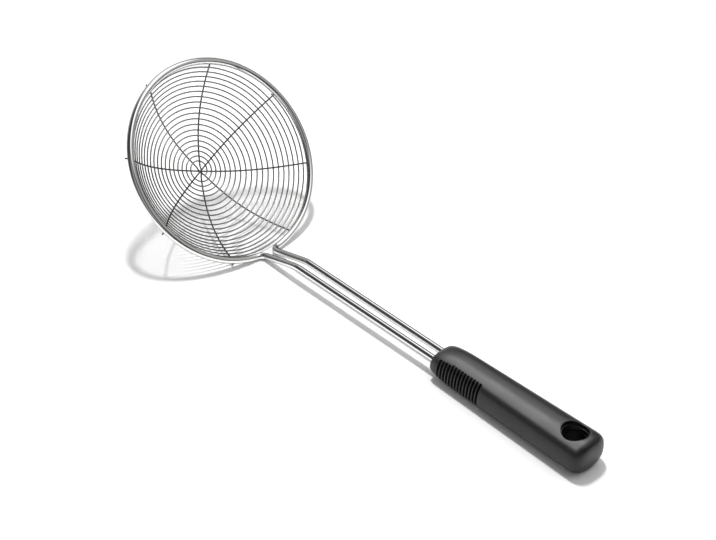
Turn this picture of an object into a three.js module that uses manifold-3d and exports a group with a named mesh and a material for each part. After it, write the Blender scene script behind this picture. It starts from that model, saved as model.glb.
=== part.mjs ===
// Wire skimmer: a shallow basket of one spiral wire on four crossed wires, carried by a looped wire
// frame whose two legs run into a soft moulded handle. It lies on its neck and on the handle's flat.
// Millimetres, +Z up, +X from the basket to the end of the handle, origin under the middle of its box.

import * as THREE from 'three';
import { mergeVertices } from 'three/addons/utils/BufferGeometryUtils.js';
import Module from 'manifold-3d';

// Frame wire: the hoop, the neck and the two legs are bent from one length
const FRAME_WIRE = 4.6;
const HOOP_RADIUS = 70;
const HOOP_TILT = 48.1;
const LEG_GAP = 4.6;
const NECK_LENGTH = 34;
const SHAFT_LENGTH = 128.7;
const LEG_DEPTH = 52;
const HOOP_BEND = 5.5;
const NECK_BEND = 3.6;

// Basket wires
const CROSS_WIRE = 1.1;
const CROSS_COUNT = 4;
const CROSS_FIRST_ANGLE = 22.5;
const CROSS_OVERHANG = 1;
const CROSS_BEND = 2.4;
const BASKET_DEPTH = 28.9;
const BASKET_POWER = 2.5;
const BASKET_LIP = 1.1;
const STACK_INNER = 1.2;
const STACK_OUTER = 4;
const SPIRAL_WIRE = 0.9;
const SPIRAL_PITCH = 3.72;
const SPIRAL_INNER = 5.2;
const SPIRAL_MARGIN = 0.1;
const SPIRAL_EASE = 0.73;
const SPIRAL_SHIFT = 1.2;
const SPIRAL_SHIFT_ANGLE = 225;

// Handle: a rigid core round the legs' ends and the hang hole, and a soft grip moulded over it
const GRIP_LENGTH = 123.3;
const GRIP_FRONT_WIDTH = 23;
const GRIP_REAR_WIDTH = 29.1;
const GRIP_FRONT_HEIGHT = 22.5;
const GRIP_REAR_HEIGHT = 23.5;
const GRIP_POWER = 2.2;
const GRIP_FLAT_DEPTH = 0.4;
const NOSE_FACE_WIDTH = 19.6;
const NOSE_FACE_HEIGHT = 10.8;
const NOSE_PLAN_LENGTH = 6.9;
const NOSE_SIDE_LENGTH = 22.5;
const TAIL_FACE_WIDTH = 14.3;
const TAIL_FACE_HEIGHT = 14.8;
const TAIL_LENGTH = 8.6;
const HOLE_DIAMETER = 16.4;
const HOLE_SETBACK = 15.3;
const CORE_SETBACK = 6;
const CORE_WALL = 0.7;
const CORE_COVER = 2.4;
const EYELET_WALL = 3;
const EYELET_LIP = 0.8;
const GROOVE_COUNT = 14;
const GROOVE_WIDTH = 1.6;
const GROOVE_PITCH = 2.55;
const GROOVE_SETBACK = 7.9;
const GROOVE_FLOOR = 1;

// Gaps between pieces that touch or are moulded round each other
const WELD_GAP = 0.3;
const SOCKET_GAP = 0.3;
const MOULD_GAP = 0.3;

// Fineness of the round forms
const FRAME_STEPS = 240;
const FRAME_SIDES = 8;
const CROSS_STEPS = 48;
const CROSS_SIDES = 6;
const LOOP_STEPS = 24;
const SPIRAL_SIDES = 6;
const GRIP_SIDES = 28;
const GRIP_STATIONS = 24;
const BORE_SIDES = 32;

// Places that follow from the sizes
const legOffset = (LEG_GAP + FRAME_WIRE) / 2;
const gripFront = NECK_LENGTH + SHAFT_LENGTH;
const gripEnd = gripFront + GRIP_LENGTH;
const legHeight = GRIP_FRONT_HEIGHT / 2 - GRIP_FLAT_DEPTH;
const holeCentre = gripEnd - HOLE_SETBACK;
const coreFront = gripFront + CORE_SETBACK;
const coreWidth = 2 * (legOffset + FRAME_WIRE / 2 + SOCKET_GAP + CORE_WALL);
const coreHeight = FRAME_WIRE + 2 * (SOCKET_GAP + CORE_COVER);
const eyeletBore = HOLE_DIAMETER / 2 - EYELET_LIP;
const eyeletRadius = HOLE_DIAMETER / 2 + EYELET_WALL;
const rimDrop = (FRAME_WIRE + CROSS_WIRE) / 2 + WELD_GAP;
const basketRim = HOOP_RADIUS - BASKET_LIP;

const wasm = await Module();
wasm.setup();

const steel = () => new THREE.MeshStandardMaterial({ color: 0xc9cacb, roughness: 0.22, metalness: 1 });
const rubber = () => new THREE.MeshStandardMaterial({ color: 0x1d1d1e, roughness: 0.55, metalness: 0 });
const plastic = () => new THREE.MeshStandardMaterial({ color: 0x141415, roughness: 0.4, metalness: 0 });

function named(name, geometry, material) {
  const mesh = new THREE.Mesh(geometry, material);
  mesh.name = name;
  return mesh;
}

// Closed geometry with shared corners, as a solid that can be cut and joined
function toSolid(geometry) {
  const bare = geometry.clone();
  bare.deleteAttribute('normal');
  bare.deleteAttribute('uv');
  const merged = mergeVertices(bare, 1e-4);
  return new wasm.Manifold(new wasm.Mesh({
    numProp: 3,
    vertProperties: Float32Array.from(merged.attributes.position.array),
    triVerts: Uint32Array.from(merged.index.array),
  }));
}

function toGeometry(solid) {
  const mesh = solid.getMesh();
  const geometry = new THREE.BufferGeometry();
  geometry.setAttribute('position', new THREE.BufferAttribute(mesh.vertProperties, 3));
  geometry.setIndex(new THREE.BufferAttribute(mesh.triVerts, 1));
  geometry.computeVertexNormals();
  return geometry;
}

function roundSection(diameter, sides) {
  const points = [];
  for (let side = 0; side < sides; side += 1) {
    const angle = 2 * Math.PI * side / sides;
    points.push(new THREE.Vector2(Math.cos(angle), Math.sin(angle)).multiplyScalar(diameter / 2));
  }
  return new THREE.Shape(points);
}

function wireAlong(path, diameter, sides, steps) {
  return new THREE.ExtrudeGeometry(roundSection(diameter, sides), {
    steps,
    bevelEnabled: false,
    extrudePath: path,
  });
}

// Basket frame: the hoop lies in its XY plane with the neck on +X, and +Z points out of the open side
const basket = new THREE.Group();
basket.rotation.y = THREE.MathUtils.degToRad(HOOP_TILT);
basket.position.set(-HOOP_RADIUS, 0, 0).applyEuler(basket.rotation);
basket.updateMatrixWorld();

class HoopArc extends THREE.Curve {
  constructor(from, to) {
    super();
    this.from = from;
    this.to = to;
  }

  getPoint(t, target = new THREE.Vector3()) {
    const angle = THREE.MathUtils.lerp(this.from, this.to, t);
    target.set(Math.cos(angle), Math.sin(angle), 0).multiplyScalar(HOOP_RADIUS);
    return target.applyMatrix4(basket.matrixWorld);
  }
}

// From the end of the leg on one side to the start of the hoop on that side
function legCurves(side) {
  const cornerAngle = Math.asin(legOffset / HOOP_RADIUS);
  const hoopAngle = cornerAngle + HOOP_BEND / HOOP_RADIUS;
  const hoop = new HoopArc(side * hoopAngle, side * Math.PI);
  const hoopStart = hoop.getPoint(0);
  const corner = new HoopArc(side * cornerAngle, side * Math.PI).getPoint(0);
  const knee = new THREE.Vector3(NECK_LENGTH, side * legOffset, legHeight);
  const legEnd = new THREE.Vector3(coreFront + LEG_DEPTH, knee.y, legHeight);
  const alongNeck = knee.clone().sub(corner).normalize();
  const kneeOut = knee.clone().setX(NECK_LENGTH + NECK_BEND);
  const kneeIn = knee.clone().addScaledVector(alongNeck, -NECK_BEND);
  const neckStart = corner.clone().addScaledVector(alongNeck, HOOP_BEND);
  const arcHandle = HOOP_BEND * 4 / 3 * (Math.SQRT2 - 1);
  const neckHandle = neckStart.clone().addScaledVector(alongNeck, -arcHandle);
  const hoopHandle = hoopStart.clone().addScaledVector(hoop.getTangent(0), -arcHandle);
  return {
    hoopAngle,
    curves: [
      new THREE.LineCurve3(legEnd, kneeOut),
      new THREE.QuadraticBezierCurve3(kneeOut, knee, kneeIn),
      new THREE.LineCurve3(kneeIn, neckStart),
      new THREE.CubicBezierCurve3(neckStart, neckHandle, hoopHandle, hoopStart),
    ],
  };
}

// The bend between the hoop and the neck is the frame's lowest place, and it lies on the table
const bend = legCurves(1).curves.at(-1);
const bendHeights = bend.getPoints(FRAME_STEPS).map((point) => point.z);
basket.position.z += FRAME_WIRE / 2 - Math.min(...bendHeights);
basket.updateMatrixWorld();

function reversed(curve) {
  const back = curve.clone();
  const names = ['v0', 'v1', 'v2', 'v3'].filter((name) => curve[name]);
  names.forEach((name, index) => back[name].copy(curve[names[names.length - 1 - index]]));
  return back;
}

function frameWire() {
  const first = legCurves(1);
  const second = legCurves(-1);
  const path = new THREE.CurvePath();
  first.curves.forEach((curve) => path.add(curve));
  path.add(new HoopArc(first.hoopAngle, 2 * Math.PI - second.hoopAngle));
  second.curves.reverse().forEach((curve) => path.add(reversed(curve)));
  return wireAlong(path, FRAME_WIRE, FRAME_SIDES, FRAME_STEPS);
}

// Height of the cross wires' middle under the hoop's plane, and its slope along the radius
function basketHeight(radius) {
  return -rimDrop - BASKET_DEPTH * (1 - (radius / basketRim) ** BASKET_POWER);
}

function basketSlope(radius) {
  return BASKET_DEPTH * BASKET_POWER / basketRim * (radius / basketRim) ** (BASKET_POWER - 1);
}

// A cross wire's bowed stretch, from one rim to the other; near the middle the wires lie over each other
class BowedStretch extends THREE.Curve {
  constructor(reach, lift) {
    super();
    this.reach = reach;
    this.lift = lift;
  }

  getPoint(t, target = new THREE.Vector3()) {
    const along = THREE.MathUtils.lerp(-this.reach, this.reach, t);
    const radius = Math.abs(along);
    const stacked = 1 - THREE.MathUtils.smoothstep(radius, STACK_INNER, STACK_OUTER);
    return target.set(along, 0, basketHeight(radius) + this.lift * stacked);
  }
}

function crossWire(layer) {
  const lift = (layer - (CROSS_COUNT - 1) / 2) * (CROSS_WIRE + WELD_GAP);
  const tip = HOOP_RADIUS + FRAME_WIRE / 2 + CROSS_OVERHANG;
  const reach = basketRim - CROSS_BEND / Math.hypot(1, basketSlope(basketRim));
  const bowed = new BowedStretch(reach, lift);
  const path = new THREE.CurvePath();
  const rimCurves = [-1, 1].map((side) => ({
    end: new THREE.Vector3(side * tip, 0, -rimDrop),
    flat: new THREE.Vector3(side * (basketRim + CROSS_BEND), 0, -rimDrop),
    corner: new THREE.Vector3(side * basketRim, 0, -rimDrop),
    bow: bowed.getPoint(side < 0 ? 0 : 1),
  }));
  const [near, far] = rimCurves;
  path.add(new THREE.LineCurve3(near.end, near.flat));
  path.add(new THREE.QuadraticBezierCurve3(near.flat, near.corner, near.bow));
  path.add(bowed);
  path.add(new THREE.QuadraticBezierCurve3(far.bow, far.corner, far.flat));
  path.add(new THREE.LineCurve3(far.flat, far.end));
  return wireAlong(path, CROSS_WIRE, CROSS_SIDES, CROSS_STEPS);
}

// The spiral's middle line lies on the cross wires. Its turns close up a little towards the middle and
// the rim, and it winds round a centre that lies off the hoop's
function spiralPoints() {
  const lay = (CROSS_WIRE + SPIRAL_WIRE) / 2 + WELD_GAP;
  const outer = basketRim - SPIRAL_MARGIN;
  const shiftAngle = THREE.MathUtils.degToRad(SPIRAL_SHIFT_ANGLE);
  const centre = new THREE.Vector2(Math.cos(shiftAngle), Math.sin(shiftAngle)).multiplyScalar(SPIRAL_SHIFT);
  let bowlLength = 0;
  const fine = (outer - SPIRAL_INNER) / (LOOP_STEPS * LOOP_STEPS);
  for (let radius = SPIRAL_INNER; radius < outer; radius += fine) {
    bowlLength += fine * Math.hypot(1, basketSlope(radius));
  }
  const stepsToNextCross = LOOP_STEPS / (2 * CROSS_COUNT);
  const crossings = Math.floor(bowlLength / SPIRAL_PITCH * 2 * CROSS_COUNT);
  const steps = crossings * stepsToNextCross;
  const wound = (step) => bowlLength * step / steps - SPIRAL_EASE * Math.sin(2 * Math.PI * step / steps);
  const points = [];
  let radius = SPIRAL_INNER;
  for (let step = 0; step <= steps; step += 1) {
    const angle = THREE.MathUtils.degToRad(CROSS_FIRST_ANGLE) + 2 * Math.PI * step / LOOP_STEPS;
    const place = new THREE.Vector2(Math.cos(angle), Math.sin(angle)).multiplyScalar(radius).add(centre);
    const reach = place.length();
    const slope = basketSlope(reach);
    const length = Math.hypot(1, slope);
    place.setLength(reach - lay * slope / length);
    points.push(new THREE.Vector3(place.x, place.y, basketHeight(reach) + lay / length));
    const advance = wound(step + 1) - wound(step);
    const middle = radius + advance / Math.hypot(1, basketSlope(radius)) / 2;
    radius += advance / Math.hypot(1, basketSlope(middle));
  }
  const straight = (end, next) => end.clone().add(end.clone().sub(next).setLength(SPIRAL_WIRE));
  points.unshift(straight(points[0], points[1]));
  points.push(straight(points[points.length - 1], points[points.length - 2]));
  return points;
}

// Least clear distance between stretches of the winding that lie more than half a turn apart
function leastGap(points, diameter) {
  let least = Infinity;
  for (let index = 0; index < points.length; index += 1) {
    for (let other = index + LOOP_STEPS / 2; other < points.length - 1; other += 1) {
      const stretch = new THREE.Line3(points[other], points[other + 1]);
      const nearest = stretch.closestPointToPoint(points[index], true, new THREE.Vector3());
      least = Math.min(least, nearest.distanceTo(points[index]) - diameter);
    }
  }
  return least;
}

// One unbroken tube through a list of points, with flat ends
function woundTube(points, diameter, sides) {
  const corners = [];
  const faces = [];
  const up = new THREE.Vector3(0, 0, 1);
  const last = points.length - 1;
  points.forEach((point, index) => {
    const before = points[Math.max(index - 1, 0)];
    const after = points[Math.min(index + 1, last)];
    const along = after.clone().sub(before).normalize();
    const across = along.clone().cross(up).normalize();
    const over = along.clone().cross(across);
    for (let side = 0; side < sides; side += 1) {
      const angle = 2 * Math.PI * side / sides;
      const corner = point.clone().addScaledVector(across, Math.cos(angle) * diameter / 2);
      corner.addScaledVector(over, Math.sin(angle) * diameter / 2);
      corners.push(...corner.toArray());
    }
  });
  const corner = (ring, side) => ring * sides + side % sides;
  for (let ring = 0; ring < last; ring += 1) {
    for (let side = 0; side < sides; side += 1) {
      faces.push(corner(ring, side), corner(ring, side + 1), corner(ring + 1, side));
      faces.push(corner(ring + 1, side), corner(ring, side + 1), corner(ring + 1, side + 1));
    }
  }
  for (let side = 1; side < sides - 1; side += 1) {
    faces.push(corner(0, 0), corner(0, side + 1), corner(0, side));
    faces.push(corner(last, 0), corner(last, side), corner(last, side + 1));
  }
  const geometry = new THREE.BufferGeometry();
  geometry.setAttribute('position', new THREE.Float32BufferAttribute(corners, 3));
  geometry.setIndex(faces);
  geometry.computeVertexNormals();
  return geometry;
}

// Share of the full section a given way in from an end: an elliptic round from the end face's share
function endRound(distance, length, faceShare) {
  const way = THREE.MathUtils.clamp(distance / length, 0, 1);
  return faceShare + (1 - faceShare) * Math.sqrt(1 - (1 - way) ** 2);
}

// The grip's half width, half height and middle height at a place along it
function gripSection(x) {
  const share = (x - gripFront) / GRIP_LENGTH;
  const width = THREE.MathUtils.lerp(GRIP_FRONT_WIDTH, GRIP_REAR_WIDTH, share);
  const height = THREE.MathUtils.lerp(GRIP_FRONT_HEIGHT, GRIP_REAR_HEIGHT, share);
  const fromFront = x - gripFront;
  const fromEnd = gripEnd - x;
  const noseWidth = endRound(fromFront, NOSE_PLAN_LENGTH, NOSE_FACE_WIDTH / GRIP_FRONT_WIDTH);
  const noseHeight = endRound(fromFront, NOSE_SIDE_LENGTH, NOSE_FACE_HEIGHT / GRIP_FRONT_HEIGHT);
  const tailWidth = endRound(fromEnd, TAIL_LENGTH, TAIL_FACE_WIDTH / GRIP_REAR_WIDTH);
  const tailHeight = endRound(fromEnd, TAIL_LENGTH, TAIL_FACE_HEIGHT / GRIP_REAR_HEIGHT);
  return {
    halfWidth: width / 2 * noseWidth * tailWidth,
    halfHeight: height / 2 * noseHeight * tailHeight,
    middle: height / 2 - GRIP_FLAT_DEPTH,
  };
}

function gripForm() {
  const geometry = new THREE.CylinderGeometry(1, 1, 1, GRIP_SIDES, GRIP_STATIONS);
  const position = geometry.attributes.position;
  const rounded = (value) => Math.sign(value) * Math.abs(value) ** (2 / GRIP_POWER);
  for (let index = 0; index < position.count; index += 1) {
    const along = (1 - Math.cos(Math.PI * (position.getY(index) + 0.5))) / 2;
    const x = gripFront + GRIP_LENGTH * along;
    const section = gripSection(x);
    const across = section.halfWidth * rounded(position.getZ(index));
    const over = section.middle + section.halfHeight * rounded(position.getX(index));
    position.setXYZ(index, x, across, over);
  }
  return toSolid(geometry);
}

function boxSolid(lower, upper) {
  const size = upper.clone().sub(lower);
  const geometry = new THREE.BoxGeometry(size.x, size.y, size.z);
  const middle = lower.clone().add(upper).multiplyScalar(0.5);
  return toSolid(geometry.translate(middle.x, middle.y, middle.z));
}

// A round bar along +X from a start point
function barSolid(start, diameter, length) {
  const geometry = new THREE.CylinderGeometry(diameter / 2, diameter / 2, length, BORE_SIDES);
  geometry.rotateZ(Math.PI / 2);
  return toSolid(geometry.translate(start.x + length / 2, start.y, start.z));
}

// A flat bar with a round eye at its far end, grown all round by a given amount
function keyholeBar(grow, boreRadius) {
  const halfWidth = coreWidth / 2 + grow;
  const radius = eyeletRadius + grow;
  const start = Math.PI - Math.asin(halfWidth / radius);
  const outline = new THREE.Shape();
  outline.moveTo(coreFront - grow, halfWidth);
  outline.lineTo(coreFront - grow, -halfWidth);
  outline.absarc(holeCentre, 0, radius, -start, start, false);
  if (boreRadius > 0) {
    const bore = new THREE.Path();
    bore.absarc(holeCentre, 0, boreRadius, 0, 2 * Math.PI, true);
    outline.holes.push(bore);
  }
  const depth = coreHeight + 2 * grow;
  const options = { depth, bevelEnabled: false, curveSegments: BORE_SIDES / 2 };
  const geometry = new THREE.ExtrudeGeometry(outline, options);
  return toSolid(geometry.translate(0, 0, legHeight - depth / 2));
}

function legSocket(from, to) {
  const diameter = FRAME_WIRE + 2 * SOCKET_GAP;
  const sides = [-1, 1].map((side) => {
    const start = new THREE.Vector3(from, side * legOffset, legHeight);
    return barSolid(start, diameter, to - from);
  });
  return sides[0].add(sides[1]);
}

function handleCore() {
  const sockets = legSocket(coreFront - MOULD_GAP, coreFront + LEG_DEPTH + SOCKET_GAP);
  return toGeometry(keyholeBar(0, eyeletBore).subtract(sockets));
}

function gripSleeve() {
  const reach = GRIP_REAR_WIDTH + GRIP_REAR_HEIGHT;
  const floor = boxSolid(
    new THREE.Vector3(gripFront - reach, -reach, -reach),
    new THREE.Vector3(gripEnd + reach, reach, 0),
  );
  const hole = new THREE.CylinderGeometry(HOLE_DIAMETER / 2, HOLE_DIAMETER / 2, 2 * reach, BORE_SIDES);
  hole.rotateX(Math.PI / 2);
  let sleeve = gripForm().subtract(floor).subtract(keyholeBar(MOULD_GAP, 0));
  sleeve = sleeve.subtract(legSocket(gripFront - reach, coreFront));
  sleeve = sleeve.subtract(toSolid(hole.translate(holeCentre, 0, 0)));
  const grooveFloor = coreWidth / 2 + MOULD_GAP + GROOVE_FLOOR;
  for (let groove = 0; groove < GROOVE_COUNT; groove += 1) {
    const middle = gripFront + GROOVE_SETBACK + groove * GROOVE_PITCH;
    [-1, 1].forEach((side) => {
      const edges = [side * grooveFloor, side * reach].sort((a, b) => a - b);
      sleeve = sleeve.subtract(boxSolid(
        new THREE.Vector3(middle - GROOVE_WIDTH / 2, edges[0], -reach),
        new THREE.Vector3(middle + GROOVE_WIDTH / 2, edges[1], 2 * reach),
      ));
    });
  }
  return toGeometry(sleeve);
}

const skimmer = new THREE.Group();
skimmer.add(named('frame_wire', frameWire(), steel()));

for (let layer = 0; layer < CROSS_COUNT; layer += 1) {
  const wire = named(`cross_wire_${layer + 1}`, crossWire(layer), steel());
  wire.rotation.z = THREE.MathUtils.degToRad(CROSS_FIRST_ANGLE + 180 * layer / CROSS_COUNT);
  basket.add(wire);
}
const winding = spiralPoints();
console.log(`Least gap between the spiral's turns: ${leastGap(winding, SPIRAL_WIRE).toFixed(2)} mm`);
basket.add(named('spiral_wire', woundTube(winding, SPIRAL_WIRE, SPIRAL_SIDES), steel()));
skimmer.add(basket);

const handle = new THREE.Group();
handle.add(named('handle_core', handleCore(), plastic()));
handle.add(named('grip_sleeve', gripSleeve(), rubber()));
skimmer.add(handle);

const bounds = new THREE.Box3().setFromObject(skimmer, true);
const middle = bounds.getCenter(new THREE.Vector3());
skimmer.position.set(-middle.x, -middle.y, -bounds.min.z);

export default skimmer;
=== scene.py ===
"""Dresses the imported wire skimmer: steel wires, soft grip, table, studio light and camera.

All lengths are in metres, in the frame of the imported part: +X runs from the basket to the end
of the handle and +Z points up off the table.
"""

from __future__ import annotations

import logging
import math
from dataclasses import dataclass, field, replace
from enum import Enum

import bmesh
import bpy
from bmesh.types import BMEdge, BMesh, BMVert
from bpy.types import ID, Material, Node, NodeSocket, NodeTree, Object, World
from mathutils import Matrix, Vector

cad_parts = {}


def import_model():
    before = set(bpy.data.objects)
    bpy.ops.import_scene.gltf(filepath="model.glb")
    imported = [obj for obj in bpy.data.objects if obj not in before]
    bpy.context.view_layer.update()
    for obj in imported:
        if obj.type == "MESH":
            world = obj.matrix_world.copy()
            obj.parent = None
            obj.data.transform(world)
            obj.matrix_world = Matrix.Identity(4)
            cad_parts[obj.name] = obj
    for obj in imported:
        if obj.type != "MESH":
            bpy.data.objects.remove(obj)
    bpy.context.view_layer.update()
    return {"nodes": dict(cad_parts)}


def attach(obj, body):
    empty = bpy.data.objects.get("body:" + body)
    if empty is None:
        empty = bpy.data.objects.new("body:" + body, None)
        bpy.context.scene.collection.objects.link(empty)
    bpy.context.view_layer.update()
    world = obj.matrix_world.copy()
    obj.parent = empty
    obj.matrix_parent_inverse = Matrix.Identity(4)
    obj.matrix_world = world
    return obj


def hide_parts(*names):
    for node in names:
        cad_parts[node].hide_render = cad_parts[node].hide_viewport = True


LOG = logging.getLogger("skimmer")

# Two or three numbers that belong together
Pair = tuple[float, float]
Triple = tuple[float, float, float]

# Where the foot of the hoop lies along X in the part's frame
FOOT_X = -0.0951424

# How far the two legs run from the middle, and how high over the table
LEG_OFFSET = 0.0046
LEG_HEIGHT = 0.01085

# The wires' drawing coordinates are in millimetres
DRAWN_UNITS = 1000


class GripFace(Enum):
    """The two faces of the grip that the hang hole goes through."""

    TOP = 1
    UNDER = -1


def smooth_step(value: float, low: float, high: float) -> float:
    """Smooth share from 0 at low to 1 at high."""
    share = min(max((value - low) / (high - low), 0.0), 1.0)
    return share * share * (3 - 2 * share)


def bent_line(handles: list[Vector], steps: int) -> list[Vector]:
    """Points along a straight or bent line.

    Args:
        handles: Ends and handles of the line: two for a straight one, three or four for a bend.
        steps: Number of stretches.

    Returns:
        The points, both ends included.
    """
    points = []
    for step in range(steps + 1):
        share = step / steps
        level = handles
        while len(level) > 1:
            level = [start.lerp(end, share) for start, end in zip(level, level[1:])]
        points.append(level[0].copy())
    return points


def chained(*stretches: list[Vector]) -> list[Vector]:
    """Joins stretches that start where the one before ends."""
    points = list(stretches[0])
    for stretch in stretches[1:]:
        points.extend(stretch[1:])
    return points


def extruded(shape: BMesh, edges: list[BMEdge]) -> tuple[list[BMVert], list[BMEdge]]:
    """Draws open edges out by one ring and gives its new vertices and new open edges."""
    made = bmesh.ops.extrude_edge_only(shape, edges=edges)["geom"]
    verts = [item for item in made if isinstance(item, BMVert)]
    rim = [item for item in made if isinstance(item, BMEdge) and item.is_boundary]
    return verts, rim


def placed(name: str, data: ID) -> Object:
    """Puts a new object into the scene."""
    made = bpy.data.objects.new(name, data)
    bpy.context.scene.collection.objects.link(made)
    return made


def as_piece(shape: BMesh, name: str, crease: float = 40.0) -> Object:
    """Closes the modelling of one piece and puts it into the scene.

    Args:
        shape: The modelled shape, which is freed.
        name: Name of the piece.
        crease: Angle in degrees past which an edge is shaded as sharp.

    Returns:
        The piece's object, riding on the part's one body.
    """
    bmesh.ops.recalc_face_normals(shape, faces=shape.faces[:])
    for face in shape.faces:
        face.smooth = True
    mesh = bpy.data.meshes.new(name)
    shape.to_mesh(mesh)
    shape.free()
    mesh.set_sharp_from_angle(angle=math.radians(crease))
    piece = placed(name, mesh)
    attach(piece, "root")
    return piece


class NodeSheet:
    """Adds and joins the nodes of one node tree."""

    # Places of the colour sockets on the mix node
    MIX_COLOURS = (6, 7)
    MIX_RESULT = 2

    def __init__(self, tree: NodeTree) -> None:
        """Starts on an empty tree."""
        self.tree = tree
        tree.nodes.clear()

    def add(
        self, kind: str, inputs: dict[str | int, object] | None = None, **settings: object
    ) -> Node:
        """Adds one node.

        Args:
            kind: Blender's name of the node's kind.
            inputs: Values or output sockets for its inputs, by name or number.
            **settings: Its own settings.

        Returns:
            The node.
        """
        node = self.tree.nodes.new(kind)
        for key, value in settings.items():
            setattr(node, key, value)
        for key, value in (inputs or {}).items():
            if isinstance(value, NodeSocket):
                self.tree.links.new(value, node.inputs[key])
            else:
                node.inputs[key].default_value = value
        return node

    def math(self, operation: str, first: object, second: object = 0.0) -> NodeSocket:
        """Output of a math node on two values or sockets."""
        return self.add("ShaderNodeMath", {0: first, 1: second}, operation=operation).outputs[0]

    def ramp(self, value: object, source: Pair, target: tuple[object, object]) -> NodeSocket:
        """Output of a smooth ramp from one range of values to another."""
        inputs = dict(enumerate((value, *source, *target)))
        return self.add("ShaderNodeMapRange", inputs, interpolation_type="SMOOTHSTEP").outputs[0]

    def bump(self, height: object, strength: float, distance: float) -> NodeSocket:
        """Normal of a surface that a pattern raises a little."""
        inputs = {"Height": height, "Strength": strength, "Distance": distance}
        return self.add("ShaderNodeBump", inputs).outputs["Normal"]

    def blend(self, share: object, first: object, second: object) -> NodeSocket:
        """Output of a colour mix from first to second."""
        node = self.add("ShaderNodeMix", {0: share}, data_type="RGBA")
        for place, value in zip(self.MIX_COLOURS, (first, second)):
            if isinstance(value, NodeSocket):
                self.tree.links.new(value, node.inputs[place])
            else:
                node.inputs[place].default_value = (*value, 1.0)
        return node.outputs[self.MIX_RESULT]


class EffectGroups:
    """Shader node groups that several finishes share, each built once."""

    def __init__(self) -> None:
        """Builds both groups."""
        self.grain = self.build_grain()
        self.marks = self.build_marks()

    @staticmethod
    def begin(
        name: str, inputs: dict[str, float], outputs: list[str]
    ) -> tuple[NodeTree, NodeSheet]:
        """Starts a group with a Vector input, further number inputs and number outputs.

        Args:
            name: Name of the group.
            inputs: Names and plain values of its number inputs.
            outputs: Names of its outputs.

        Returns:
            The group's tree and a sheet on it.
        """
        tree = bpy.data.node_groups.new(name, "ShaderNodeTree")
        tree.interface.new_socket("Vector", in_out="INPUT", socket_type="NodeSocketVector")
        for label, value in inputs.items():
            socket = tree.interface.new_socket(label, in_out="INPUT", socket_type="NodeSocketFloat")
            socket.default_value = value
        for label in outputs:
            tree.interface.new_socket(label, in_out="OUTPUT", socket_type="NodeSocketFloat")
        return tree, NodeSheet(tree)

    def build_grain(self) -> NodeTree:
        """Fine grain or drawing lines: a height and a mask of the same pattern.

        Returns:
            The group's tree.
        """
        plain = {"Scale": 1000.0, "Detail": 2.0}
        tree, sheet = self.begin("surface_grain", plain, ["Height", "Mask"])
        given = sheet.add("NodeGroupInput")
        wanted = {label: given.outputs[label] for label in ("Vector", *plain)}
        noise = sheet.add("ShaderNodeTexNoise", wanted)
        mask = sheet.ramp(noise.outputs["Fac"], (0.3, 0.7), (0.0, 1.0))
        sheet.add("NodeGroupOutput", {"Height": noise.outputs["Fac"], "Mask": mask})
        return tree

    def build_marks(self) -> NodeTree:
        """Handling marks: broad soft patches broken up by a finer speckle.

        Returns:
            The group's tree.
        """
        tree, sheet = self.begin("handling_marks", {"Scale": 40.0, "Speckle": 900.0}, ["Mask"])
        given = sheet.add("NodeGroupInput")
        vector = given.outputs["Vector"]
        masks = []
        for size, detail, edge, span in (
            ("Scale", 4.0, (0.38, 0.66), (0.0, 1.0)),
            ("Speckle", 1.0, (0.35, 0.65), (0.55, 1.0)),
        ):
            wanted = {"Vector": vector, "Scale": given.outputs[size], "Detail": detail}
            noise = sheet.add("ShaderNodeTexNoise", wanted)
            masks.append(sheet.ramp(noise.outputs["Fac"], edge, span))
        sheet.add("NodeGroupOutput", {"Mask": sheet.math("MULTIPLY", *masks)})
        return tree


@dataclass(frozen=True)
class DrawnSteel:
    """Bright stainless wire with fine lines from drawing along its length."""

    name: str
    bright: Triple = (0.90, 0.90, 0.89)
    dull: Triple = (0.82, 0.82, 0.815)
    smooth: float = 0.035
    rough: float = 0.08
    line_depth: float = 0.03
    line_height: float = 0.00002
    line_stretch: Triple = (9.0, 9.0, 0.05)
    handled: float = 0.05
    # Edge colour of the reflection, far darker than steel's own: painted shade along the wires'
    # rims
    edge: Triple = (0.2, 0.2, 0.2)

    def material(self, groups: EffectGroups) -> Material:
        """Builds the finish.

        Args:
            groups: The shared effects.

        Returns:
            The material, which reads the wire's own drawing coordinates.
        """
        made = bpy.data.materials.new(self.name)
        made.use_nodes = True
        sheet = NodeSheet(made.node_tree)
        drawn = sheet.add("ShaderNodeAttribute", attribute_name="drawn", attribute_type="GEOMETRY")
        stretched = sheet.add(
            "ShaderNodeMapping", {"Vector": drawn.outputs["Vector"], "Scale": self.line_stretch}
        )
        lines = sheet.add("ShaderNodeGroup", node_tree=groups.grain)
        sheet.tree.links.new(stretched.outputs["Vector"], lines.inputs["Vector"])
        place = sheet.add("ShaderNodeTexCoord")
        marks = sheet.add("ShaderNodeGroup", node_tree=groups.marks)
        sheet.tree.links.new(place.outputs["Object"], marks.inputs["Vector"])
        shade = sheet.blend(lines.outputs["Mask"], self.dull, self.bright)
        lined = sheet.ramp(lines.outputs["Mask"], (0.0, 1.0), (self.rough, self.smooth))
        handled = sheet.math("MULTIPLY", marks.outputs["Mask"], self.handled)
        bump = sheet.bump(lines.outputs["Height"], self.line_depth, self.line_height)
        steel = sheet.add(
            "ShaderNodeBsdfPrincipled",
            {
                "Base Color": shade,
                "Metallic": 1.0,
                # Dark edge colour: painted shade along the rims
                "Specular Tint": (*self.edge, 1.0),
                "Roughness": sheet.math("ADD", lined, handled),
                "Normal": bump,
            },
        )
        sheet.add("ShaderNodeOutputMaterial", {"Surface": steel.outputs["BSDF"]})
        return made


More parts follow.
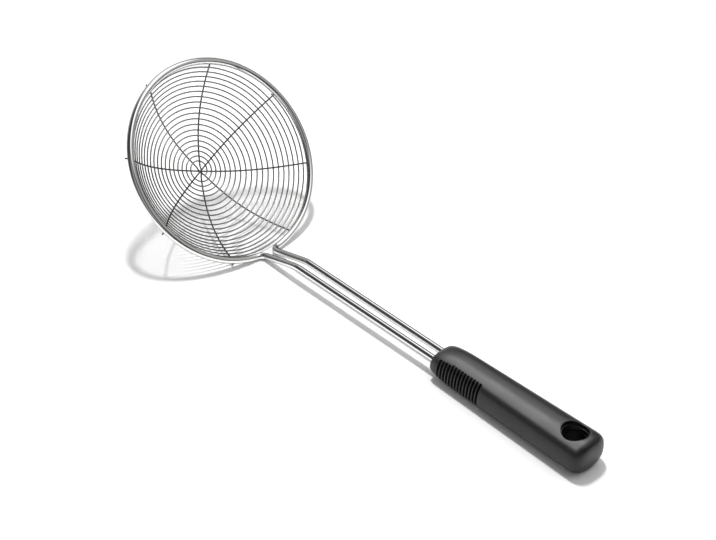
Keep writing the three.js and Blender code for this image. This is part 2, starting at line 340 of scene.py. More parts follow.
@dataclass(frozen=True)
class MouldedBlack:
    """Black moulded surface with a fine grain, paler on marked edges: partly rubbed wear, partly
    painted highlight.
    """

    name: str
    colour: Triple = (0.009, 0.009, 0.0092)
    # Paler colour on marked edges: partly rubbed wear, partly painted highlight on the fin crests
    # and the hang hole's rim
    dusted: Triple = (0.014, 0.014, 0.0143)
    rubbed_and_sheen: Triple = (0.05, 0.05, 0.051)
    roughness: float = 0.39
    gloss: float = 0.43
    grain_scale: float = 2600.0
    grain_depth: float = 0.5
    grain_height: float = 0.00005
    grain_spread: float = 0.05
    mark_scale: float = 55.0
    handled: float = 0.04
    rub_and_sheen_break: Pair = (0.6, 1.0)

    def material(self, groups: EffectGroups) -> Material:
        """Builds the finish.

        Args:
            groups: The shared effects.

        Returns:
            The material, on the piece's own coordinates and its wear_and_sheen attribute.
        """
        made = bpy.data.materials.new(self.name)
        made.use_nodes = True
        sheet = NodeSheet(made.node_tree)
        place = sheet.add("ShaderNodeTexCoord").outputs["Object"]
        grain = sheet.add("ShaderNodeGroup", node_tree=groups.grain)
        grain.inputs["Scale"].default_value = self.grain_scale
        marks = sheet.add("ShaderNodeGroup", node_tree=groups.marks)
        marks.inputs["Scale"].default_value = self.mark_scale
        for group in (grain, marks):
            sheet.tree.links.new(place, group.inputs["Vector"])
        # Marked edges turn paler: partly rubbed wear, partly painted highlight
        wear_and_sheen = sheet.add("ShaderNodeAttribute", attribute_name="wear_and_sheen", attribute_type="GEOMETRY")
        broken = sheet.ramp(grain.outputs["Mask"], (0.0, 1.0), self.rub_and_sheen_break)
        rub_and_sheen = sheet.math("MULTIPLY", wear_and_sheen.outputs["Fac"], broken)
        plain = sheet.blend(marks.outputs["Mask"], self.colour, self.dusted)
        spread = (self.roughness - self.grain_spread, self.roughness + self.grain_spread)
        dull = sheet.ramp(grain.outputs["Mask"], (0.0, 1.0), spread)
        handled = sheet.math("MULTIPLY", marks.outputs["Mask"], -self.handled)
        bump = sheet.bump(grain.outputs["Height"], self.grain_depth, self.grain_height)
        black = sheet.add(
            "ShaderNodeBsdfPrincipled",
            {
                "Base Color": sheet.blend(rub_and_sheen, plain, self.rubbed_and_sheen),
                "Roughness": sheet.math("ADD", dull, handled),
                "Specular IOR Level": self.gloss,
                "Normal": bump,
            },
        )
        sheet.add("ShaderNodeOutputMaterial", {"Surface": black.outputs["BSDF"]})
        return made


@dataclass
class WireRun:
    """A length of round wire, drawn out ring by ring along its middle line."""

    path: list[Vector]
    diameter: float
    sides: int
    cut_round: float = 0.00012
    cut_segments: int = 2

    def headings(self) -> list[Vector]:
        """Direction of the wire at each point of its middle line."""
        last = len(self.path) - 1
        return [
            (self.path[min(index + 1, last)] - self.path[max(index - 1, 0)]).normalized()
            for index in range(last + 1)
        ]

    def drawn_out(self) -> BMesh:
        """Draws the wire out, with open ends.

        Returns:
            The shape, with the place on the section and the run along the wire, in millimetres,
            in the vertex attribute "drawn".
        """
        shape = bmesh.new()
        drawn = shape.verts.layers.float_vector.new("drawn")
        headings = self.headings()
        turn = headings[0].to_track_quat("Z", "Y")
        place = Matrix.Translation(self.path[0]) @ turn.to_matrix().to_4x4()
        bmesh.ops.create_circle(shape, segments=self.sides, radius=self.diameter / 2, matrix=place)
        back = place.inverted()
        for vert in shape.verts:
            vert[drawn] = (back @ vert.co) * DRAWN_UNITS
        edges = shape.edges[:]
        run = 0.0
        for index in range(1, len(self.path)):
            turn = headings[index - 1].rotation_difference(headings[index]) @ turn
            onward = Matrix.Translation(self.path[index]) @ turn.to_matrix().to_4x4()
            ring, edges = extruded(shape, edges)
            bmesh.ops.transform(shape, matrix=onward @ place.inverted(), verts=ring)
            run += (self.path[index] - self.path[index - 1]).length * DRAWN_UNITS
            for vert in ring:
                across = vert[drawn]
                vert[drawn] = (across.x, across.y, run)
            place = onward
        return shape

    def close_ends(self, shape: BMesh) -> None:
        """Closes the open ends and takes the sharp edge off the cuts."""
        rims = [edge for edge in shape.edges if edge.is_boundary]
        bmesh.ops.holes_fill(shape, edges=rims, sides=self.sides)
        bmesh.ops.bevel(
            shape,
            geom=rims,
            offset=self.cut_round,
            affect="EDGES",
            segments=self.cut_segments,
            profile=0.5,
            material=-1,
        )


@dataclass
class HoopPlane:
    """The hoop's tilted plane: its own X points to the neck, its Z out of the open side."""

    tilt: float = math.radians(48.1)
    centre_x: float = -0.1418906
    centre_z: float = 0.0539464

    def matrix(self) -> Matrix:
        """Matrix from the hoop's own frame to the part's."""
        place = Matrix.Translation((self.centre_x, 0, self.centre_z))
        return place @ Matrix.Rotation(self.tilt, 4, "Y")


@dataclass
class FrameWire:
    """The thick wire bent into the hoop, the neck and the two legs."""

    plane: HoopPlane
    wire: float = 0.0046
    hoop_radius: float = 0.070
    leg_offset: float = LEG_OFFSET
    leg_height: float = LEG_HEIGHT
    leg_end: float = FOOT_X + 0.2207
    knee_x: float = FOOT_X + 0.034
    knee_bend: float = 0.0036
    hoop_bend: float = 0.0055
    leg_steps: int = 16
    knee_steps: int = 12
    neck_steps: int = 6
    corner_steps: int = 16
    hoop_steps: int = 110
    cut_slack: float = 1e-7
    join_reach: float = 1e-5
    sides: int = 28

    def half_path(self) -> list[Vector]:
        """Middle line of the far half of the wire.

        Returns:
            Points in the part's frame, from the end of its leg to the top of the hoop.
        """
        matrix = self.plane.matrix()

        def on_hoop(angle: float) -> Vector:
            """Point of the hoop at an angle from the neck."""
            return matrix @ (Vector((math.cos(angle), math.sin(angle), 0)) * self.hoop_radius)

        corner_angle = math.asin(self.leg_offset / self.hoop_radius)
        hoop_angle = corner_angle + self.hoop_bend / self.hoop_radius
        corner = on_hoop(corner_angle)
        hoop_start = on_hoop(hoop_angle)
        knee = Vector((self.knee_x, self.leg_offset, self.leg_height))
        end = Vector((self.leg_end, self.leg_offset, self.leg_height))
        along = (knee - corner).normalized()
        knee_out = knee + Vector((self.knee_bend, 0, 0))
        knee_in = knee - along * self.knee_bend
        neck_start = corner + along * self.hoop_bend
        handle = self.hoop_bend * 4 / 3 * (math.sqrt(2) - 1)
        tangent = matrix.to_3x3() @ Vector((-math.sin(hoop_angle), math.cos(hoop_angle), 0))
        bend = [neck_start, neck_start - along * handle, hoop_start - tangent * handle, hoop_start]
        swept = math.pi - hoop_angle
        steps = self.hoop_steps
        hoop = [on_hoop(hoop_angle + swept * step / steps) for step in range(steps + 1)]
        return chained(
            bent_line([end, knee_out], self.leg_steps),
            bent_line([knee_out, knee, knee_in], self.knee_steps),
            bent_line([knee_in, neck_start], self.neck_steps),
            bent_line(bend, self.corner_steps),
            hoop,
        )

    def build(self) -> Object:
        """Draws the far half out and mirrors it to the near side.

        Returns:
            The finished piece.
        """
        path = self.half_path()
        before = path[-2]
        past = Vector((before.x, -before.y, before.z))
        run = WireRun([*path, past], self.wire, self.sides)
        shape = run.drawn_out()
        everything = shape.verts[:] + shape.edges[:] + shape.faces[:]
        bmesh.ops.bisect_plane(
            shape,
            geom=everything,
            dist=self.cut_slack,
            plane_co=(0, 0, 0),
            plane_no=(0, -1, 0),
            clear_outer=True,
        )
        everything = shape.verts[:] + shape.edges[:] + shape.faces[:]
        bmesh.ops.mirror(
            shape, geom=everything, matrix=Matrix.Identity(4), merge_dist=self.join_reach, axis="Y"
        )
        run.close_ends(shape)
        piece = as_piece(shape, "hoop_neck_and_legs")
        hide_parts("frame_wire")
        return piece


@dataclass
class BasketWires:
    """The four crossed wires and the spiral that they carry."""

    plane: HoopPlane
    cross_wire: float = 0.0011
    cross_count: int = 4
    first_angle: float = math.radians(22.5)
    tip: float = 0.0728
    rim: float = 0.0689
    rim_drop: float = 0.0027
    rim_bend: float = 0.0024
    depth: float = 0.02935
    power: float = 2.5
    stack_step: float = 0.0007
    stack_inner: float = 0.0012
    stack_outer: float = 0.0040
    spiral_wire: float = 0.0010
    spiral_inner: float = 0.0052
    spiral_outer: float = 0.0688
    spiral_turns: float = 19.25
    spiral_ease: float = 0.00073
    spiral_lay: float = 0.00085
    spiral_centre: Pair = (-0.00087, -0.00059)
    turn_steps: int = 64
    measure_steps: int = 4000
    tip_steps: int = 3
    rim_steps: int = 8
    bow_steps: int = 140
    bow_sweep: float = 0.999
    bow_crowding: float = 0.35
    sides: int = 12

    def height(self, radius: float) -> float:
        """Height of the cross wires' middle line in the hoop's frame."""
        return -self.rim_drop - self.depth * (1 - (radius / self.rim) ** self.power)

    def slope(self, radius: float) -> float:
        """Slope of the bowl along the radius."""
        return self.depth * self.power / self.rim * (radius / self.rim) ** (self.power - 1)

    def cross_path(self, layer: int) -> list[Vector]:
        """Middle line of one cross wire.

        Args:
            layer: Its place in the stack at the crossing, from 0 at the bottom.

        Returns:
            Points in the part's frame, from tip to tip.
        """
        lift = (layer - (self.cross_count - 1) / 2) * self.stack_step
        reach = self.rim - self.rim_bend / math.hypot(1, self.slope(self.rim))
        steps = self.bow_steps
        widest = math.sin(math.pi * self.bow_sweep / 2)
        bowed = []
        for step in range(steps + 1):
            along = reach * math.sin(math.pi * (step / steps - 0.5) * self.bow_sweep) / widest
            even = reach * (2 * step / steps - 1)
            along = self.bow_crowding * along + (1 - self.bow_crowding) * even
            stacked = 1 - smooth_step(abs(along), self.stack_inner, self.stack_outer)
            bowed.append(Vector((along, 0, self.height(abs(along)) + lift * stacked)))
        places = (self.tip, self.rim + self.rim_bend, self.rim)
        near = [Vector((-place, 0, -self.rim_drop)) for place in places]
        far = [Vector((-point.x, 0, point.z)) for point in near]
        flat = chained(
            bent_line(near[:2], self.tip_steps),
            bent_line([near[1], near[2], bowed[0]], self.rim_steps),
            bowed,
            bent_line([bowed[-1], far[2], far[1]], self.rim_steps),
            bent_line([far[1], far[0]], self.tip_steps),
        )
        turn = Matrix.Rotation(self.first_angle + math.pi * layer / self.cross_count, 4, "Z")
        matrix = self.plane.matrix() @ turn
        return [matrix @ point for point in flat]

    def spiral_path(self) -> list[Vector]:
        """Middle line of the spiral.

        Returns:
            Points in the part's frame, from the middle to the rim.
        """
        stretch = (self.spiral_outer - self.spiral_inner) / self.measure_steps
        length = sum(
            stretch * math.hypot(1, self.slope(self.spiral_inner + stretch * (index + 0.5)))
            for index in range(self.measure_steps)
        )
        steps = round(self.spiral_turns * self.turn_steps)

        def wound(step: int) -> float:
            """Way along the bowl's profile after a number of steps."""
            return length * step / steps - self.spiral_ease * math.sin(2 * math.pi * step / steps)

        matrix = self.plane.matrix()
        points = []
        radius = self.spiral_inner
        for step in range(steps + 1):
            angle = self.first_angle + 2 * math.pi * step / self.turn_steps
            place = Vector((math.cos(angle), math.sin(angle))) * radius + Vector(self.spiral_centre)
            reach = place.length
            slope = self.slope(reach)
            slant = math.hypot(1, slope)
            place *= (reach - self.spiral_lay * slope / slant) / reach
            height = self.height(reach) + self.spiral_lay / slant
            points.append(matrix @ Vector((place.x, place.y, height)))
            advance = wound(step + 1) - wound(step)
            middle = radius + advance / math.hypot(1, self.slope(radius)) / 2
            radius += advance / math.hypot(1, self.slope(middle))
        ends = ((points[0], points[1], 0), (points[-1], points[-2], len(points) + 1))
        for end, following, place in ends:
            points.insert(place, end + (end - following).normalized() * self.spiral_wire)
        return points

    def build_cross(self, layer: int) -> Object:
        """Builds one cross wire.

        Args:
            layer: Its place in the stack at the crossing, from 0 at the bottom.

        Returns:
            The finished piece.
        """
        run = WireRun(self.cross_path(layer), self.cross_wire, self.sides)
        shape = run.drawn_out()
        run.close_ends(shape)
        piece = as_piece(shape, f"basket_cross_wire_{layer + 1}")
        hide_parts(f"cross_wire_{layer + 1}")
        return piece

    def build_spiral(self) -> Object:
        """Builds the spiral as one unbroken wire."""
        run = WireRun(self.spiral_path(), self.spiral_wire, self.sides)
        shape = run.drawn_out()
        run.close_ends(shape)
        piece = as_piece(shape, "basket_spiral")
        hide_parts("spiral_wire")
        return piece


@dataclass(frozen=True)
class Station:
    """One ring of the grip: its place along it, how far its sides are cut in, and how pale its
    edges are painted: partly rubbed wear, partly painted highlight.
    """

    along: float
    cut: float = 0.0
    wear_and_sheen: float = 0.0


@dataclass
class SoftGrip:
    """The soft sleeve of the handle, with fins on both sides and the hang hole."""

    front: float = FOOT_X + 0.1627
    length: float = 0.1233
    front_width: float = 0.0232
    rear_width: float = 0.0295
    front_height: float = 0.0225
    rear_height: float = 0.0238
    power: float = 2.75
    under_power: float = 2.1
    sag: float = 0.26
    flat_depth: float = 0.0004
    nose_width_share: float = 19.6 / 23.0
    nose_height_share: float = 10.8 / 22.5
    nose_plan: float = 0.0069
    nose_side: float = 0.0225
    tail_plan_power: float = 3.3
    tail_side_power: float = 4.0
    tail: float = 0.0095
    hole_setback: float = 0.0153
    hole_radius: float = 0.0085
    hole_round: float = 0.0009
    ledge_drop: float = 0.0019
    ledge: float = 0.00055
    hole_cells: int = 8
    spread_cells: int = 13
    cell: float = 0.00095
    groove_count: int = 14
    groove_width: float = 0.00176
    groove_pitch: float = 0.00255
    groove_setback: float = 0.0079
    groove_edge: float = 0.0089
    groove_floor: float = 0.0084
    fin_round: float = 0.00014
    # Rings over each fin crest: out, cut in, and paleness (partly rubbed wear, partly painted
    # highlight)
    fin_profile: tuple[Triple, ...] = ((1.0, 0.0, 0.0), (0.35, 0.25, 0.7), (0.0, 1.0, 0.5))
    nose_steps: int = 16
    nose_crowding: int = 2
    stem_steps: int = 26
    tail_steps: int = 20
    tail_crowding: int = 3
    rim_steps: int = 6
    # Paleness of the hang hole's upper rim rings: partly rubbed wear, partly painted highlight
    rim_wear_and_sheen_steps: int = 3
    rim_wear_and_sheen: float = 0.35
    ledge_parts: int = 3
    socket_sides: int = 32
    weld_reach: float = 2e-6
    crease: float = 42.0
    leg_offset: float = LEG_OFFSET
    leg_height: float = LEG_HEIGHT
    leg_socket: float = 0.00242
    socket_depth: float = 0.0055
    sides: int = 96
    hole_station: int = field(default=0, init=False)

    def section(self, along: float) -> Triple:
        """Size of the grip's section, with the rounding of nose and tail.

        Args:
            along: Way along the grip from its nose.

        Returns:
            Half width, half height and height of the middle.
        """

        def end_round(distance: float, length: float, share: float, power: float = 2.0) -> float:
            """Share of the full section a way in from an end."""
            way = min(max(distance / length, 0.0), 1.0)
            return share + (1 - share) * max(1 - (1 - way) ** power, 0.0) ** (1 / power)

        share = along / self.length
        width = self.front_width + (self.rear_width - self.front_width) * share
        height = self.front_height + (self.rear_height - self.front_height) * share
        rest = self.length - along
        wide = end_round(along, self.nose_plan, self.nose_width_share)
        wide *= end_round(rest, self.tail, 0.0, self.tail_plan_power)
        high = end_round(along, self.nose_side, self.nose_height_share)
        high *= end_round(rest, self.tail, 0.0, self.tail_side_power)
        return width / 2 * wide, height / 2 * high, height / 2 - self.flat_depth

    def stations(self) -> list[Station]:
        """Rings of the grip, with the hang hole's ring noted in hole_station.

        Returns:
            The rings from nose to tail.
        """
        rings = [
            Station(self.nose_plan * (step / self.nose_steps) ** self.nose_crowding)
            for step in range(self.nose_steps + 1)
        ]
        half = self.groove_width / 2
        for groove in range(self.groove_count):
            middle = self.groove_setback + groove * self.groove_pitch
            rise = [
                Station(half + out * self.fin_round, cut * self.fin_round, wear_and_sheen)
                for out, cut, wear_and_sheen in self.fin_profile
            ]
            rise.append(Station(half, math.inf))
            rings += [Station(middle - ring.along, ring.cut, ring.wear_and_sheen) for ring in rise]
            rings += [Station(middle, math.inf)]
            rings += [Station(middle + ring.along, ring.cut, ring.wear_and_sheen) for ring in reversed(rise)]
        hole = self.length - self.hole_setback
        start = hole - self.spread_cells * self.cell
        last = rings[-1].along
        stem = self.stem_steps
        rings += [Station(last + (start - last) * step / stem) for step in range(1, stem)]
        self.hole_station = len(rings) + self.spread_cells
        rings += [Station(start + self.cell * step) for step in range(2 * self.spread_cells + 1)]
        rest = self.length - rings[-1].along
        rings += [
            Station(self.length - rest * (1 - step / self.tail_steps) ** self.tail_crowding)
            for step in range(1, self.tail_steps + 1)
        ]
        return rings

    def roundness(self, face: GripFace) -> Pair:
        """How square one half of the section is, and how far the widest line lies away from it."""
        return (self.power if face is GripFace.TOP else self.under_power), self.sag * face.value

    def skin(self, station: Station, side: int) -> Vector:
        """Point of the skin, with the cut of the fins.

        Args:
            station: Ring that it lies on.
            side: Its number round the ring, from 0 at the top.

        Returns:
            The point in the part's frame.
        """
        half_width, half_height, middle = self.section(station.along)
        angle = 2 * math.pi * side / self.sides
        across, over = math.sin(angle), math.cos(angle)
        face = GripFace.TOP if over > 0 else GripFace.UNDER
        power, lean = self.roundness(face)
        y = half_width * math.copysign(abs(across) ** (2 / power), across)
        z = middle + face.value * half_height * ((1 + lean) * abs(over) ** (2 / power) - lean)
        if abs(y) > self.groove_edge:
            y = math.copysign(max(abs(y) - station.cut, self.groove_floor), y)
        return Vector((self.front + station.along, y, max(z, 0.0)))

    def face_height(self, x: float, y: float, face: GripFace) -> float:
        """Height of one face over a point of the table.

        Args:
            x: Place along the part.
            y: Place across it.
            face: Top or underside.

        Returns:
            Height over the table.
        """
        half_width, half_height, middle = self.section(x - self.front)
        power, lean = self.roundness(face)
        share = min(abs(y) / half_width, 1.0)
        rise = half_height * ((1 + lean) * (1 - share**power) ** (1 / power) - lean)
        return max(middle + face.value * rise, 0.0)

    def loft(self, shape: BMesh) -> None:
        """Draws the sleeve out from nose to tail, ring by ring.

        Args:
            shape: An empty shape with the layers "station", "side" and "wear_and_sheen".
        """
        station_of = shape.verts.layers.int["station"]
        side_of = shape.verts.layers.int["side"]
        wear_and_sheen_of = shape.verts.layers.float["wear_and_sheen"]
        bmesh.ops.create_circle(shape, segments=self.sides, radius=self.front_width / 2)
        ring = shape.verts[:]
        for side, vert in enumerate(ring):
            vert[side_of] = side
        edges = shape.edges[:]
        for index, station in enumerate(self.stations()):
            if index:
                ring, edges = extruded(shape, edges)
            for vert in ring:
                vert[station_of] = index
                vert.co = self.skin(station, vert[side_of])
                # Fin edges take their ring's paleness: partly rubbed wear, partly painted highlight
                vert[wear_and_sheen_of] = station.wear_and_sheen if abs(vert.co.y) > self.groove_edge else 0.0

    def hole_cell(self, vert: BMVert, shape: BMesh, face: GripFace) -> tuple[int, int]:
        """Cells of a vertex along and across from the hang hole's middle, on one face."""
        column = vert[shape.verts.layers.int["station"]] - self.hole_station
        side = vert[shape.verts.layers.int["side"]]
        half = self.sides // 2
        row = (side + half) % self.sides - half if face is GripFace.TOP else half - side
        return column, row

    def open_hole(self, shape: BMesh, face: GripFace) -> list[BMEdge]:
        """Draws the mesh of one face into rings round the hang hole and opens it.

        Args:
            shape: The lofted sleeve.
            face: The face to open.

        Returns:
            The open edges of the hole's wall, below the rounded rim.
        """
        centre = self.front + self.length - self.hole_setback
        rim = self.hole_radius + self.hole_round
        inner, loop = [], set()
        for vert in shape.verts:
            column, row = self.hole_cell(vert, shape, face)
            ring = max(abs(column), abs(row))
            if ring > self.spread_cells:
                continue
            if ring < self.hole_cells:
                inner.append(vert)
                continue
            if abs(column) >= abs(row):
                angle = math.pi / 4 * row / column + (math.pi if column < 0 else 0.0)
            else:
                angle = math.pi / 2 - math.pi / 4 * column / row + (math.pi if row < 0 else 0.0)
            reach = rim + (ring - self.hole_cells) * self.cell
            round_place = Vector((centre + reach * math.cos(angle), reach * math.sin(angle)))
            share = smooth_step(ring, self.hole_cells, self.spread_cells)
            place = round_place.lerp(vert.co.xy, share)
            vert.co = (place.x, place.y, self.face_height(place.x, place.y, face))
            if ring == self.hole_cells:
                loop.add(vert)
        bmesh.ops.delete(shape, geom=inner, context="VERTS")
        edges = [edge for edge in shape.edges if edge.is_boundary and loop.issuperset(edge.verts)]
        wear_and_sheen_of = shape.verts.layers.float["wear_and_sheen"]
        steps = self.rim_steps
        for step in range(1, steps + 1):
            before, now = (math.pi / 2 * count / steps for count in (step - 1, step))
            drop = self.hole_round * (math.cos(before) - math.cos(now))
            verts, edges = extruded(shape, edges)
            for vert in verts:
                out = (vert.co.xy - Vector((centre, 0))).normalized()
                reach = rim - self.hole_round * math.sin(now)
                height = vert.co.z - face.value * drop
                vert.co = (centre + out.x * reach, out.y * reach, height)
                # The upper rim rings turn paler: partly rubbed wear, partly painted highlight
                vert[wear_and_sheen_of] = self.rim_wear_and_sheen if step <= self.rim_wear_and_sheen_steps else 0.0
        rounded = self.ledge / self.ledge_parts
        for inward, drop in ((0, self.ledge_drop), (self.ledge - rounded, 0), (rounded, rounded)):
            verts, edges = extruded(shape, edges)
            for vert in verts:
                out = (vert.co.xy - Vector((centre, 0))).normalized()
                vert.co -= Vector((out.x * inward, out.y * inward, face.value * drop))
        return edges

    def close_nose(self, shape: BMesh) -> None:
        """Closes the nose round the two leg sockets and sinks the sockets in.

        Args:
            shape: The lofted sleeve, open at its first ring.
        """
        station_of = shape.verts.layers.int["station"]
        outline = [
            edge
            for edge in shape.edges
            if edge.is_boundary and all(vert[station_of] == 0 for vert in edge.verts)
        ]
        sockets = []
        for side in (-1, 1):
            place = Matrix.Translation((self.front, side * self.leg_offset, self.leg_height))
            matrix = place @ Matrix.Rotation(math.pi / 2, 4, "Y")
            made = bmesh.ops.create_circle(
                shape, segments=self.socket_sides, radius=self.leg_socket, matrix=matrix
            )
            rim = set(made["verts"])
            sockets.append([edge for edge in shape.edges if rim.issuperset(edge.verts)])
        bmesh.ops.triangle_fill(
            shape, use_beauty=True, edges=outline + sockets[0] + sockets[1], normal=(-1, 0, 0)
        )
        for mouth in sockets:
            verts, floor = extruded(shape, mouth)
            bmesh.ops.translate(shape, vec=(self.socket_depth, 0, 0), verts=verts)
            bmesh.ops.holes_fill(shape, edges=floor, sides=0)

    def build(self) -> Object:
        """Builds the sleeve as one closed skin.

        Returns:
            The finished piece.
        """
        shape = bmesh.new()
        layers = shape.verts.layers
        layers.int.new("station")
        layers.int.new("side")
        layers.float.new("wear_and_sheen")
        self.loft(shape)
        walls = [edge for face in GripFace for edge in self.open_hole(shape, face)]
        bmesh.ops.bridge_loops(shape, edges=walls)
        self.close_nose(shape)
        bmesh.ops.remove_doubles(shape, verts=shape.verts[:], dist=self.weld_reach)
        for name in ("station", "side"):
            layers.int.remove(layers.int[name])
        piece = as_piece(shape, "soft_grip", self.crease)
        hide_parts("grip_sleeve")
        return piece


@dataclass(frozen=True)
class SheenLamp:
    """A softbox that shows only as a reflection, and only in some pieces."""

    name: str
    at: Triple
    size: Pair
    power: float

    def hang(self, lit: list[Object]) -> Object:
        """Hangs the softbox level, facing down.

        Args:
            lit: The pieces that mirror it.

        Returns:
            The softbox's lamp object.
        """
        light = bpy.data.lights.new(self.name, "AREA")
        light.shape = "RECTANGLE"
        light.size, light.size_y = self.size
        light.energy = self.power
        hung = placed(self.name, light)
        hung.location = self.at
        hung.visible_camera = False
        hung.visible_diffuse = False
        reach = bpy.data.collections.new(f"{self.name}_reach")
        for piece in lit:
            reach.objects.link(piece)
        hung.light_linking.receiver_collection = reach
        return hung


@dataclass
class Studio:
    """Table, lamp, surroundings and camera."""

    table_radius: float = 0.34
    table_drop: float = 0.00005
    table_sides: int = 96
    table_roughness: float = 0.9
    # Reach and samples of the painted shade that takes the table's glow away near the skimmer
    painted_shade_reach: float = 0.04
    painted_shade_samples: int = 8
    floor_colour: Triple = (0.95, 0.95, 0.95)
    floor_glow: float = 0.25
    lamp_at: Triple = (-0.375, 0.166, 1.50)
    lamp_aim: Triple = (-0.08, 0.0, 0.0)
    lamp_size: Pair = (0.135, 0.24)
    lamp_power: float = 17.0
    panel_turn: float = math.radians(-20.8)
    panel_middle: Pair = (-0.17, 0.40)
    panel_half: Pair = (0.85, 0.36)
    panel_soft: float = 0.18
    panel_least_height: float = 0.02
    panel: float = 0.78
    wall_from: Triple = (-0.174, 0.985, 0.0)
    wall_spread: Pair = (-0.15, 0.45)
    wall_rise: Pair = (0.05, 0.45)
    wall_low: float = 0.115
    wall_high: float = 0.29
    left_from: Triple = (-0.99, 0.14, 0.0)
    left_spread: Pair = (0.70, 0.94)
    left_rise: Pair = (0.0, 0.7)
    left_low: float = 0.38
    left_high: float = 0.045
    card_from: Triple = (0.541, -0.692, 0.479)
    card_spread: Pair = (0.80, 0.95)
    card: float = 0.155
    corner_from: Triple = (-0.540, 0.801, 0.259)
    corner_spread: Pair = (0.89, 0.975)
    corner: float = 0.40
    room: float = 0.038
    skyline_rise: Pair = (0.0, 0.20)
    skyline: float = 0.08
    mirrored: float = 1.45
    eye: Triple = (0.5913, -0.6349, 0.6873)
    azimuth: float = math.radians(43.393)
    elevation: float = math.radians(36.713)
    roll: float = math.radians(3.617)
    lens: float = 84.96
    sensor: float = 36.0
    nearest: float = 0.01

    def lay_table(self) -> Object:
        """Lays the plain pale table under the skimmer, its added glow fading near the skimmer as
        painted shade.

        Returns:
            The table.
        """
        shape = bmesh.new()
        lowered = Matrix.Translation((0, 0, -self.table_drop))
        bmesh.ops.create_circle(
            shape,
            cap_ends=True,
            segments=self.table_sides,
            radius=self.table_radius,
            matrix=lowered,
        )
        mesh = bpy.data.meshes.new("table")
        shape.to_mesh(mesh)
        shape.free()
        table = placed("table", mesh)
        made = bpy.data.materials.new("pale_table")
        made.use_nodes = True
        sheet = NodeSheet(made.node_tree)
        path = sheet.add("ShaderNodeLightPath")
        seen = path.outputs["Is Camera Ray"]
        for ray in ("Is Glossy Ray", "Is Transmission Ray"):
            seen = sheet.math("MAXIMUM", seen, path.outputs[ray])
        # The glow fades where the skimmer is near: painted shade under and beside it
        painted_contact_shade = sheet.add(
            "ShaderNodeAmbientOcclusion",
            {"Distance": self.painted_shade_reach},
            samples=self.painted_shade_samples,
        )
        glow = sheet.math("MULTIPLY", painted_contact_shade.outputs["AO"], self.floor_glow)
        pale = sheet.add(
            "ShaderNodeBsdfPrincipled",
            {
                "Base Color": (*self.floor_colour, 1.0),
                "Roughness": self.table_roughness,
                "Specular IOR Level": 0.0,
                "Emission Color": (1.0, 1.0, 1.0, 1.0),
                "Emission Strength": sheet.math("MULTIPLY", seen, glow),
            },
        )
        sheet.add("ShaderNodeOutputMaterial", {"Surface": pale.outputs["BSDF"]})
        mesh.materials.append(made)
        return table

    def hang_lamp(self) -> Object:
        """Hangs the lamp that casts the shadow and that no surface mirrors.

        Returns:
            The lamp object.
        """
        lamp = bpy.data.lights.new("overhead_lamp", "AREA")
        lamp.shape = "ELLIPSE"
        lamp.size, lamp.size_y = self.lamp_size
        lamp.energy = self.lamp_power
        hung = placed("overhead_lamp", lamp)
        hung.location = self.lamp_at
        back = Vector(self.lamp_at) - Vector(self.lamp_aim)
        hung.rotation_euler = back.to_track_quat("Z", "Y").to_euler()
        hung.visible_glossy = False
        return hung

    def set_room(self) -> World:
        """Surrounds the table with a soft panel overhead, pale walls behind and a dim room.

        Returns:
            The world, white to the camera.
        """
        world = bpy.data.worlds.new("studio_room")
        world.use_nodes = True
        bpy.context.scene.world = world
        sheet = NodeSheet(world.node_tree)
        toward = sheet.add("ShaderNodeTexCoord").outputs["Generated"]
        parts = sheet.add("ShaderNodeSeparateXYZ", {0: toward})
        height = parts.outputs["Z"]
        flat = sheet.add("ShaderNodeCombineXYZ", {0: parts.outputs["X"], 1: parts.outputs["Y"]})
        level_way = sheet.add("ShaderNodeVectorMath", {0: flat.outputs[0]}, operation="NORMALIZE")
        bearing = level_way.outputs["Vector"]

        def facing(direction: NodeSocket, aim: Triple) -> NodeSocket:
            """How far a direction points the same way as an aim."""
            aimed = Vector(aim).normalized()
            return sheet.add(
                "ShaderNodeVectorMath", {0: direction, 1: aimed}, operation="DOT_PRODUCT"
            ).outputs["Value"]

        above = sheet.math("MAXIMUM", height, self.panel_least_height)
        panel: object = self.panel
        for quarter, middle, half in zip((0.0, math.pi / 2), self.panel_middle, self.panel_half):
            turn = self.panel_turn + quarter
            way = facing(toward, (math.cos(turn), math.sin(turn), 0.0))
            slant = sheet.math("SUBTRACT", sheet.math("DIVIDE", way, above), middle)
            edge = (half - self.panel_soft, half + self.panel_soft)
            inside = sheet.ramp(sheet.math("ABSOLUTE", slant), edge, (1.0, 0.0))
            panel = sheet.math("MULTIPLY", inside, panel)
        wall_level = sheet.ramp(height, self.wall_rise, (self.wall_low, self.wall_high))
        facing_wall = facing(bearing, self.wall_from)
        wall = sheet.ramp(facing_wall, self.wall_spread, (self.room, wall_level))
        left = sheet.ramp(facing(bearing, self.left_from), self.left_spread, (0.0, 1.0))
        low = sheet.ramp(height, self.left_rise, (self.left_low, self.left_high))
        card = sheet.ramp(facing(toward, self.card_from), self.card_spread, (0.0, self.card))
        facing_corner = facing(toward, self.corner_from)
        corner = sheet.ramp(facing_corner, self.corner_spread, (1.0, self.corner))
        glow = sheet.ramp(height, self.skyline_rise, (self.skyline, 0.0))
        level = sheet.math("MAXIMUM", wall, glow)
        for light in (sheet.math("MULTIPLY", left, low), panel, card):
            level = sheet.math("ADD", level, light)
        level = sheet.math("MULTIPLY", level, corner)
        path = sheet.add("ShaderNodeLightPath")
        lift = sheet.ramp(path.outputs["Is Glossy Ray"], (0.0, 1.0), (1.0, self.mirrored))
        level = sheet.math("MULTIPLY", level, lift)
        seen = path.outputs["Is Camera Ray"]
        unseen = sheet.math("MULTIPLY", level, sheet.math("SUBTRACT", 1.0, seen))
        strength = sheet.math("ADD", unseen, seen)
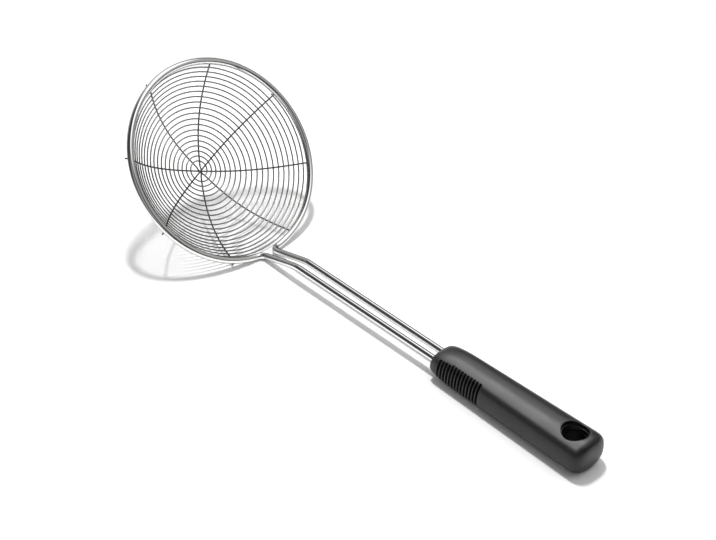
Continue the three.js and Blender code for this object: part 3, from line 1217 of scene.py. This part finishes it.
        backdrop = sheet.add(
            "ShaderNodeBackground", {"Color": (1.0, 1.0, 1.0, 1.0), "Strength": strength}
        )
        sheet.add("ShaderNodeOutputWorld", {"Surface": backdrop.outputs["Background"]})
        return world

    def place_camera(self) -> Object:
        """Places the camera where the photograph was taken from.

        Returns:
            The camera object.
        """
        azimuth, elevation = self.azimuth, self.elevation
        back = Vector((
            math.sin(azimuth) * math.cos(elevation),
            -math.cos(azimuth) * math.cos(elevation),
            math.sin(elevation),
        ))
        level = Vector((math.cos(azimuth), math.sin(azimuth), 0))
        up = back.cross(level)
        right = level * math.cos(self.roll) + up * math.sin(self.roll)
        over = up * math.cos(self.roll) - level * math.sin(self.roll)
        optics = bpy.data.cameras.new("camera")
        optics.sensor_fit = "HORIZONTAL"
        optics.sensor_width = self.sensor
        optics.lens = self.lens
        optics.clip_start = self.nearest
        camera = placed("camera", optics)
        turn = Matrix((right, over, back)).transposed().to_4x4()
        camera.matrix_world = Matrix.Translation(self.eye) @ turn
        bpy.context.scene.camera = camera
        return camera


def dress(piece: Object, finish: Material) -> None:
    """Gives a piece its finish and reports it.

    Args:
        piece: The finished piece.
        finish: Its material.
    """
    piece.data.materials.append(finish)
    LOG.info("%s: %d faces, %s", piece.name, len(piece.data.polygons), finish.name)


def main() -> None:
    """Builds the studio and the skimmer's pieces in order."""
    logging.basicConfig(level=logging.INFO, format="%(name)s: %(message)s")
    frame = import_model()
    bpy.context.scene.view_settings.view_transform = "Standard"

    studio = Studio()
    studio.place_camera()
    studio.lay_table()
    studio.hang_lamp()
    studio.set_room()

    groups = EffectGroups()
    frame_steel = DrawnSteel("polished_frame_steel").material(groups)
    # The spiral and the cross wires take the frame's steel in darker copies: painted shade for how
    # dark the thin wires look
    spiral_shaded_finish = DrawnSteel(
        "spiral_steel_painted_shade",
        bright=(0.36, 0.36, 0.357),
        dull=(0.28, 0.28, 0.277),
        smooth=0.14,
        rough=0.22,
        line_depth=0.01,
    )
    # Darker still: painted shade on the cross wires
    cross_shaded_finish = replace(
        spiral_shaded_finish,
        name="cross_steel_painted_shade",
        bright=(0.20, 0.20, 0.198),
        dull=(0.15, 0.15, 0.148),
    )
    spiral_shaded_steel = spiral_shaded_finish.material(groups)
    cross_shaded_steel = cross_shaded_finish.material(groups)
    rubber = MouldedBlack("soft_touch_rubber").material(groups)
    # The core's own black plastic, made darker still: painted shade deep in the hang hole
    core_shaded_plastic = MouldedBlack(
        "core_plastic",
        colour=(0.003, 0.003, 0.0031),
        dusted=(0.005, 0.005, 0.0051),
        roughness=0.50,
        gloss=0.2,
        grain_scale=1500.0,
        grain_depth=0.1,
    ).material(groups)

    plane = HoopPlane()
    dress(FrameWire(plane).build(), frame_steel)
    basket = BasketWires(plane)
    for layer in range(basket.cross_count):
        dress(basket.build_cross(layer), cross_shaded_steel)
    spiral = basket.build_spiral()
    dress(spiral, spiral_shaded_steel)
    basket_sheen = SheenLamp("basket_softbox", studio.lamp_at, size=(0.80, 0.60), power=5.0)
    basket_sheen.hang([spiral])
    sleeve = SoftGrip().build()
    dress(sleeve, rubber)
    handle_sheen = SheenLamp(
        "handle_softbox", at=(-0.20, -0.09, 0.60), size=(0.80, 1.02), power=14.0
    )
    handle_sheen.hang([sleeve])

    core = frame["nodes"]["handle_core"]
    for holder in core.material_slots:
        holder.material = core_shaded_plastic
    LOG.info("%s: carried over, %s", core.name, core_shaded_plastic.name)


if __name__ == "__main__":
    main()
